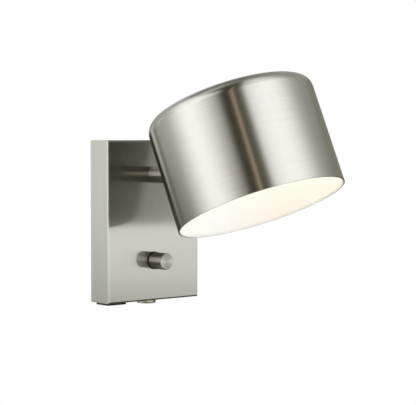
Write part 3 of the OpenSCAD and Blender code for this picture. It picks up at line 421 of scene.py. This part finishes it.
# The folded box: the grain's grooves are rough, and the lands between them polished
COVER_GROUND = 0.33
COVER_SIDE = 0.44
COVER_POLISH = 0.07
COVER_STRETCH = 1.0
GRAIN = 2600
GRAIN_ALONG = 18
LANDS = (19000, 19000, 900)
POLISHED_FROM = (0.50, 0.53)
PATCHES = (150, 150, 8)
PATCH_SHARE = 0.3
COVER_BUMP = 0.000001
LEVEL_FACES = (0.6, 0.8)
# The side faces are painted paler, as painted light: their darker and paler marks, and how far a face looks
# to the side for its painted colour and for its gloss
SIDE_PAINTED_SHEEN = ((0.725, 0.73, 0.66), (0.875, 0.885, 0.80))
SIDE_SHEEN_EDGE = (0.10, 0.30)
SIDE_GLOSS_EDGE = (0.93, 0.995)
# The bend along the top is painted darker, as painted shade, between these two changes in how far a face
# looks up
BEND_PAINTED_SHADE = (0.16, 0.157, 0.14)
TOP_BEND = (0.12, 0.30)
TOP_FACE = (0.93, 0.99)

# Turned and spun pieces. The knob's bevel lies between its side and its face. The arm and the knob's side
# are painted paler as painted sheen, and the bevel paler still as a painted highlight
TURNED_SWEEP = 0.8
TURNED_BUMP = 0.000002
ROUGH_SWING = 0.03
# The arm is painted paler than the cover's nickel: painted sheen
ARM_PAINTED_SHEEN_NICKEL = (0.70, 0.69, 0.635)
CAP_NICKEL = (0.66, 0.62, 0.54)
KNUCKLE_NICKEL = (0.30, 0.28, 0.25)
KNOB_ROUGH = 0.20
KNOB_SIDE_ROUGH = 0.36
# The knob's side is painted paler: painted sheen
KNOB_SIDE_PAINTED_SHEEN = (0.74, 0.73, 0.67)
BEVEL_ROUGH = 0.7
# The bevel is painted paler still: a painted highlight
BEVEL_PAINTED_HIGHLIGHT = (0.94, 0.93, 0.88)
BEVEL_STARTS = (0.20, 0.35)
BEVEL_ENDS = (0.93, 0.98)
SHADE_ROUGH = 0.18
SHADE_STRETCH = 0.90
SHADE_GRAIN = 2600
SHADE_SWEEP = 2.0
SHADE_TINT = 0.13
SHADE_BUMP = 0.000006

# The shell's inside is enamelled white out to the middle of its rim, and bare above the reflector
ENAMEL_EDGE = (69.01 * MM, 69.05 * MM)
ENAMEL_TOP = (10 * MM, 12 * MM)
# The enamel is painted whiter at the left and creamier and darker at the right, across this span: painted
# light
ENAMEL = (0.90, 0.89, 0.85)
# Painted light: whiter at the left, creamier and darker at the right
ENAMEL_PAINTED_LIGHT_LEFT = (0.94, 0.945, 0.945)
ENAMEL_PAINTED_SHADE_RIGHT = (0.89, 0.83, 0.74)
ENAMEL_SPAN = (0 * MM, 65 * MM)

# The bulb gives the shade's inside its warm light, and its glass is dimmer at the neck
BULB_GLOW = (1.0, 0.982, 0.948)
BULB_NECK_GLOW = (0.93, 0.80, 0.62)
BULB_STRENGTH = 4.0
BULB_NECK_ENDS = (-2 * MM, 30 * MM)

# Plated pieces: fine marks, and stains
PLATED_MARKS = (1500, 600, 900)
PLATED_TINT = 0.08
PLATED_SWING = 0.06
PLATED_BUMP = 0.000008
STAIN_MARKS = (170, 170, 170)
STAIN_EDGE = (0.45, 0.72)
STAIN_STRENGTH = 0.55

# Mouldings, leads and glass: their uneven tone
FLOW_MARKS = (90, 90, 90)
FLOW_SHARE = 0.6
SHEATH_MARKS = (900, 900, 900)
STRIPE_MARKS = (60, 420, 420)
STRIPE_EDGE = (0.48, 0.52)
CLOUD_MARKS = (70, 70, 70)
CLOUD_REACH = 4 * MM

# The box's leads, told apart by where they run
EARTH_GREEN = (0.02, 0.24, 0.05)
EARTH_YELLOW = (0.75, 0.60, 0.03)
NEUTRAL_BLUE = (0.02, 0.10, 0.42)
LIVE_BROWN = (0.16, 0.06, 0.02)
LAMP_LEAD_WHITE = (0.80, 0.80, 0.77)
LAMP_LEAD_X = -4 * MM
LIVE_X = -17 * MM
EARTH_X = -12 * MM
EARTH_Y = -8 * MM
EARTH_Z = 20 * MM


def to_world(tree, vector):
    """A direction on the piece, turned as its body is."""
    node = add(tree, "ShaderNodeVectorTransform", vector_type="VECTOR", convert_from="OBJECT",
               convert_to="WORLD")
    tree.links.new(vector, node.inputs[0])
    return node.outputs[0]


def surface_normal(tree):
    """The way that a face looks, with its bumps left out."""
    return tree.nodes.new("ShaderNodeNewGeometry").outputs["Normal"]


def turned_tangent(tree, origin, axis):
    """The way across the marks that turning leaves round an axis."""
    out = vector_maths(tree, "SUBTRACT", object_place(tree), origin)
    round_way = vector_maths(tree, "CROSS_PRODUCT", tuple(axis), out)
    round_way = to_world(tree, vector_maths(tree, "NORMALIZE", round_way))
    across = vector_maths(tree, "CROSS_PRODUCT", round_way, surface_normal(tree))
    return vector_maths(tree, "NORMALIZE", across)


def folded_tangent(tree):
    """The way across a grain that runs up and down. A small share to the right gives level faces one too."""
    across = vector_maths(tree, "CROSS_PRODUCT", surface_normal(tree), UP)
    return vector_maths(tree, "NORMALIZE", vector_maths(tree, "ADD", across, (0.001, 0, 0)))


def noise(tree, vector, scale, detail=2.0, roughness=0.5):
    """Uneven marks between 0 and 1."""
    node = add(tree, "ShaderNodeTexNoise", Scale=scale, Detail=detail, Roughness=roughness)
    tree.links.new(vector, node.inputs["Vector"])
    return node.outputs["Fac"]


def stretched(tree, vector, stretch):
    """Texture space drawn out along a grain."""
    return vector_maths(tree, "MULTIPLY", vector, stretch)


def turned_place(tree, origin, axis):
    """Texture space in which a mark runs right round an axis: outward way, and place along the section."""
    place = vector_maths(tree, "SUBTRACT", object_place(tree), origin)
    along = vector_maths(tree, "DOT_PRODUCT", place, tuple(axis))
    along_axis = tree.nodes.new("ShaderNodeVectorMath")
    along_axis.operation = "SCALE"
    along_axis.inputs[0].default_value = tuple(axis)
    tree.links.new(along, along_axis.inputs["Scale"])
    out = vector_maths(tree, "SUBTRACT", place, along_axis.outputs[0])
    radius = vector_maths(tree, "LENGTH", out)
    section = tree.nodes.new("ShaderNodeCombineXYZ")
    tree.links.new(radius, section.inputs["X"])
    tree.links.new(along, section.inputs["Y"])
    heading = vector_maths(tree, "NORMALIZE", out)
    return section.outputs[0], heading


def turned_grain(tree, origin, axis, fine, sweep):
    """Marks that run round an axis: fine across them, per metre, and sweep patches round the turn."""
    section, heading = turned_place(tree, origin, axis)
    fine_part = stretched(tree, section, (fine, fine, fine))
    sweep_part = stretched(tree, heading, (sweep, sweep, sweep))
    return noise(tree, vector_maths(tree, "ADD", fine_part, sweep_part), 1.0, 3.0, 0.6)


def metal(name, colour, roughness, anisotropy=0.0):
    """A bare metal of one colour."""
    material, tree, shader = new_material(name)
    shader.inputs["Base Color"].default_value = (*colour, 1)
    shader.inputs["Metallic"].default_value = 1
    shader.inputs["Roughness"].default_value = roughness
    shader.inputs["Anisotropic"].default_value = anisotropy
    return material, tree, shader


def grained(tree, shader, colour, roughness, grain, tint, rough_swing, bump):
    """Drives colour, roughness and bump by a grain."""
    dark = tuple(c * (1 - tint) for c in colour)
    light = tuple(min(1, c * (1 + tint)) for c in colour)
    tree.links.new(mixed(tree, grain, dark, light), shader.inputs["Base Color"])
    tree.links.new(maths(tree, "MULTIPLY_ADD", grain, 2 * rough_swing, roughness - rough_swing),
                   shader.inputs["Roughness"])
    bumped(tree, shader, grain, METAL_RELIEF, bump)


def by_facing(tree, axis, edge):
    """1 where a face looks along an axis of the frame, and 0 where it looks across it."""
    facing = maths(tree, "ABSOLUTE", vector_maths(tree, "DOT_PRODUCT", surface_normal(tree), axis))
    return between(tree, facing, edge)


def folded_nickel():
    """Brushed sheet: the grain runs down the faces, and straight back on the top and the underside. The side
    faces are painted paler as painted light, and the bend along the top painted dark as painted shade.
    """
    material, tree, shader = metal("cover_nickel", NICKEL, COVER_GROUND, COVER_STRETCH)
    place = object_place(tree)
    level = by_facing(tree, UP, LEVEL_FACES)
    down = stretched(tree, place, (GRAIN, GRAIN, GRAIN_ALONG))
    back = stretched(tree, place, (GRAIN, GRAIN_ALONG, GRAIN))
    grain = noise(tree, mixed(tree, level, down, back), 1.0, 3.0, 0.65)
    lands = noise(tree, stretched(tree, place, LANDS), 1.0, 1.0)
    patches = noise(tree, stretched(tree, place, PATCHES), 1.0, 2.0)
    both = maths(tree, "MULTIPLY", grain, 1 - PATCH_SHARE)
    both = maths(tree, "MULTIPLY_ADD", patches, PATCH_SHARE, both)
    dark = tuple(c * (1 - TONE_SWING) for c in NICKEL)
    light = tuple(c * (1 + TONE_SWING) for c in NICKEL)
    side = by_facing(tree, RIGHT, SIDE_GLOSS_EDGE)
    # The side faces are painted paler: painted light
    sideways = by_facing(tree, RIGHT, SIDE_SHEEN_EDGE)
    painted_side_sheen = mixed(tree, both, *SIDE_PAINTED_SHEEN)
    colour = mixed(tree, sideways, mixed(tree, both, dark, light), painted_side_sheen)
    rise = vector_maths(tree, "DOT_PRODUCT", surface_normal(tree), UP)
    # The bend along the top is painted dark: painted shade
    bend = maths(tree, "SUBTRACT", between(tree, rise, TOP_BEND), between(tree, rise, TOP_FACE))
    bend = maths(tree, "MULTIPLY", bend, maths(tree, "SUBTRACT", 1.0, sideways))
    tree.links.new(mixed(tree, bend, colour, BEND_PAINTED_SHADE), shader.inputs["Base Color"])
    ground = maths(tree, "MULTIPLY_ADD", side, COVER_SIDE - COVER_GROUND, COVER_GROUND)
    polished = maths(tree, "SUBTRACT", 1.0, side)
    polished = maths(tree, "MULTIPLY", between(tree, lands, POLISHED_FROM), polished)
    tree.links.new(mixed_value(tree, polished, ground, COVER_POLISH), shader.inputs["Roughness"])
    bumped(tree, shader, grain, METAL_RELIEF, COVER_BUMP)
    tree.links.new(folded_tangent(tree), shader.inputs["Tangent"])
    return material


def turned_nickel(name, origin, axis, roughness, anisotropy, tint=0.05, fine=2600, colour=NICKEL):
    """Nickel on a turned or spun part, with marks that run round its axis."""
    material, tree, shader = metal(name, colour, roughness, anisotropy)
    grain = turned_grain(tree, origin, axis, fine, TURNED_SWEEP)
    grained(tree, shader, colour, roughness, grain, tint, ROUGH_SWING, TURNED_BUMP)
    tree.links.new(turned_tangent(tree, origin, axis), shader.inputs["Tangent"])
    return material


def knob_nickel_painted_sheen():
    """Turned nickel: a fine face, a coarser side painted paler as painted sheen, and between them a coarse
    bevel painted pale as a painted highlight.
    """
    material = turned_nickel("knob_nickel_painted_sheen", KNOB, INTO_WALL, KNOB_ROUGH, anisotropy=0.9, tint=0.08,
                             fine=3500)
    tree = material.node_tree
    shader = shader_of(material)
    front = by_facing(tree, INTO_WALL, BEVEL_STARTS)
    bevel = maths(tree, "SUBTRACT", front, by_facing(tree, INTO_WALL, BEVEL_ENDS))
    rough = mixed_value(tree, bevel, source_of(shader, "Roughness"), BEVEL_ROUGH)
    side = maths(tree, "SUBTRACT", 1.0, front)
    tree.links.new(mixed_value(tree, side, rough, KNOB_SIDE_ROUGH), shader.inputs["Roughness"])
    # The bevel is painted pale: a painted highlight
    colour = mixed(tree, bevel, source_of(shader, "Base Color"), BEVEL_PAINTED_HIGHLIGHT)
    # The side is painted paler: painted sheen
    tree.links.new(mixed(tree, side, colour, KNOB_SIDE_PAINTED_SHEEN), shader.inputs["Base Color"])
    return material


def enamel_light_painted(tree):
    """The enamel's painted light: whiter at the left and creamier at the right, by the place across the
    shade.
    """
    across = three_axes(tree, object_place(tree))[0]
    return mixed(tree, between(tree, across, ENAMEL_SPAN), ENAMEL_PAINTED_LIGHT_LEFT, ENAMEL_PAINTED_SHADE_RIGHT)


def shade_nickel():
    """The spun shell: nickel outside, and enamel inside below the reflector, with painted light across the
    enamel.
    """
    material, tree, shader = metal("shade_nickel", NICKEL, SHADE_ROUGH, SHADE_STRETCH)
    grain = turned_grain(tree, SHADE_CENTRE, SHADE_AXIS, SHADE_GRAIN, SHADE_SWEEP)
    grained(tree, shader, NICKEL, SHADE_ROUGH, grain, SHADE_TINT, ROUGH_SWING, SHADE_BUMP)
    tree.links.new(turned_tangent(tree, SHADE_CENTRE, SHADE_AXIS), shader.inputs["Tangent"])
    section = turned_place(tree, SHADE_CENTRE, SHADE_AXIS)[0]
    radius, along = three_axes(tree, section)[:2]
    bare = maths(tree, "MAXIMUM", between(tree, radius, ENAMEL_EDGE), between(tree, along, ENAMEL_TOP))
    nickel = source_of(shader, "Base Color")
    # The enamel inside carries painted light across it
    tree.links.new(mixed(tree, bare, enamel_light_painted(tree), nickel), shader.inputs["Base Color"])
    tree.links.new(bare, shader.inputs["Metallic"])
    return material


def plated(name, colour, roughness, stain=None):
    """A plated or bare metal: fine marks, uneven lustre and faint patches of another tone."""
    material, tree, shader = metal(name, colour, roughness)
    place = object_place(tree)
    marks = noise(tree, stretched(tree, place, PLATED_MARKS), 1.0, 3.0, 0.7)
    grained(tree, shader, colour, roughness, marks, PLATED_TINT, PLATED_SWING, PLATED_BUMP)
    if stain:
        patches = noise(tree, stretched(tree, place, STAIN_MARKS), 1.0, 3.0, 0.6)
        patches = maths(tree, "MULTIPLY", between(tree, patches, STAIN_EDGE), STAIN_STRENGTH)
        clean = source_of(shader, "Base Color")
        tree.links.new(mixed(tree, patches, clean, stain), shader.inputs["Base Color"])
    return material


def moulded(name, colour, roughness, fine=2200, depth=0.00002, mottle=0.05, swing=0.05):
    """A moulding: its tool's fine texture, with slightly uneven tone and lustre."""
    material, tree, shader = new_material(name)
    shader.inputs["Roughness"].default_value = roughness
    place = object_place(tree)
    texture = noise(tree, stretched(tree, place, (fine, fine, fine)), 1.0, 2.0, 0.6)
    flow = noise(tree, stretched(tree, place, FLOW_MARKS), 1.0, 2.0, 0.5)
    dark = tuple(c * (1 - mottle) for c in colour)
    light = tuple(min(1, c * (1 + mottle)) for c in colour)
    both = maths(tree, "MULTIPLY_ADD", flow, FLOW_SHARE, maths(tree, "MULTIPLY", texture, 1 - FLOW_SHARE))
    tree.links.new(mixed(tree, both, dark, light), shader.inputs["Base Color"])
    tree.links.new(maths(tree, "MULTIPLY_ADD", both, 2 * swing, roughness - swing),
                   shader.inputs["Roughness"])
    bumped(tree, shader, texture, MOULD_RELIEF, depth)
    return material


def lead_colours():
    """The box's leads, told apart by where they run: earth, neutral, live, and the lamp's own lead."""
    material, tree, shader = new_material("lead_sheath")
    place = object_place(tree)
    x, y, z = three_axes(tree, place)
    sheen = noise(tree, stretched(tree, place, SHEATH_MARKS), 1.0, 2.0)
    right_of_live = maths(tree, "GREATER_THAN", x, LAMP_LEAD_X)
    right_of_neutral = maths(tree, "GREATER_THAN", x, LIVE_X)
    high = maths(tree, "GREATER_THAN", z, EARTH_Z)
    near_bracket = maths(tree, "MULTIPLY", maths(tree, "GREATER_THAN", y, EARTH_Y), high)
    high_left = maths(tree, "MULTIPLY", maths(tree, "LESS_THAN", x, EARTH_X), high)
    stripe = noise(tree, stretched(tree, place, STRIPE_MARKS), 1.0, 0.0)
    earth = mixed(tree, between(tree, stripe, STRIPE_EDGE), EARTH_GREEN, EARTH_YELLOW)
    colour = mixed(tree, right_of_neutral, NEUTRAL_BLUE, LIVE_BROWN)
    colour = mixed(tree, right_of_live, colour, LAMP_LEAD_WHITE)
    colour = mixed(tree, maths(tree, "MAXIMUM", near_bracket, high_left), colour, earth)
    shade = mixed(tree, sheen, (0.90, 0.90, 0.90), (1.0, 1.0, 1.0))
    tree.links.new(mixed(tree, 1.0, colour, shade, "MULTIPLY"), shader.inputs["Base Color"])
    tree.links.new(maths(tree, "MULTIPLY_ADD", sheen, 0.14, 0.36), shader.inputs["Roughness"])
    return material


def opal_glass():
    """Lit opal glass, a little dimmer towards its neck."""
    material, tree, shader = new_material("opal_glass")
    place = vector_maths(tree, "SUBTRACT", object_place(tree), BULB_NECK)
    along = vector_maths(tree, "LENGTH", place)
    cloud = noise(tree, stretched(tree, place, CLOUD_MARKS), 1.0, 2.0)
    lit = between(tree, maths(tree, "MULTIPLY_ADD", cloud, CLOUD_REACH, along), BULB_NECK_ENDS)
    tree.links.new(mixed(tree, lit, BULB_NECK_GLOW, BULB_GLOW), shader.inputs["Emission Color"])
    tree.links.new(mixed(tree, cloud, (0.90, 0.89, 0.86), (0.95, 0.94, 0.92)), shader.inputs["Base Color"])
    shader.inputs["Emission Strength"].default_value = BULB_STRENGTH
    tree.links.new(maths(tree, "MULTIPLY_ADD", cloud, 0.1, 0.3), shader.inputs["Roughness"])
    return material


def enamel():
    """Stoved white enamel with a faint orange peel, and painted light across it."""
    material = moulded("white_enamel", ENAMEL, 0.32, fine=420, depth=0.00006, mottle=0.012, swing=0.03)
    tree = material.node_tree
    shader = shader_of(material)
    cloud = mixed(tree, 1.0, source_of(shader, "Base Color"), ENAMEL, "DIVIDE")
    # Painted light across the enamel: whiter at the left, creamier at the right
    tone = mixed(tree, 1.0, enamel_light_painted(tree), cloud, "MULTIPLY")
    tree.links.new(tone, shader.inputs["Base Color"])
    return material


dress(folded_nickel(), "front_cover")
dress(shade_nickel(), "shade_shell")
# The arm's paler nickel is painted sheen
dress(turned_nickel("arm_nickel_painted_sheen", SWIVEL, INTO_WALL, roughness=0.40, anisotropy=0.98, tint=0.12, fine=2200,
                    colour=ARM_PAINTED_SHEEN_NICKEL), "arm_tube", "arm_fork")
dress(knob_nickel_painted_sheen(), "dimmer_knob")
dress(turned_nickel("cap_nickel", SCREW_HEAD, UP, roughness=0.17, anisotropy=0.5, colour=CAP_NICKEL),
      "cover_screw")
dress(turned_nickel("knuckle_nickel", PIVOT, HEAD_OUT, roughness=0.30, anisotropy=0.3,
                    colour=KNUCKLE_NICKEL), "head_knuckle")
dress(plated("zinc_steel", (0.70, 0.71, 0.73), 0.30, stain=(0.74, 0.68, 0.52)), "wall_bracket",
      "earth_clamp", "bush_nut", "stop_washer", "pivot_screw", "pivot_nut", "saddle_washer", "dimmer_shaft")
dress(plated("spring_steel", (0.42, 0.43, 0.45), 0.34), "spring_washer")
dress(plated("black_steel", (0.09, 0.09, 0.10), 0.42), "grub_screw")
dress(plated("brass", (0.78, 0.62, 0.32), 0.27, stain=(0.55, 0.38, 0.18)), "threaded_insert",
      "terminal_screws", "earth_screw", "swivel_nipple", "swivel_nut", "holder_nut")
dress(plated("port_metal", (0.75, 0.75, 0.76), 0.22), "port_shell")
dress(plated("contact_copper", (0.78, 0.50, 0.32), 0.28, stain=(0.45, 0.25, 0.14)), "holder_shell",
      "holder_contact")
dress(plated("bulb_cap_metal", (0.76, 0.75, 0.72), 0.28), "bulb_cap")
dress(enamel(), "shade_reflector")
dress(moulded("black_plastic", (0.012, 0.012, 0.013), 0.42, mottle=0.15), "socket_bezel", "bush_ring")
dress(moulded("module_plastic", (0.055, 0.055, 0.06), 0.5, mottle=0.12), "dimmer_module", "charger_module")
dress(moulded("white_plastic", (0.84, 0.84, 0.81), 0.3), "swivel_bush", "friction_washers", "holder_cap",
      "holder_body")
dress(moulded("ivory_plastic", (0.80, 0.77, 0.67), 0.36), "terminal_block")
dress(moulded("tongue_plastic", (0.80, 0.80, 0.78), 0.28), "port_tongue")
dress(moulded("bulb_plastic", (0.86, 0.86, 0.85), 0.3), "bulb_base")
dress(moulded("bulb_insulator", (0.05, 0.045, 0.045), 0.2), "bulb_tip")
dress(moulded("rubber", (0.03, 0.03, 0.03), 0.68, depth=0.00004, mottle=0.2), "cable_grommet")
dress(moulded("lamp_lead_sheath", (0.78, 0.78, 0.76), 0.38, mottle=0.03), "arm_lead")
dress(lead_colours(), "box_leads")
dress(opal_glass(), "bulb_globe")
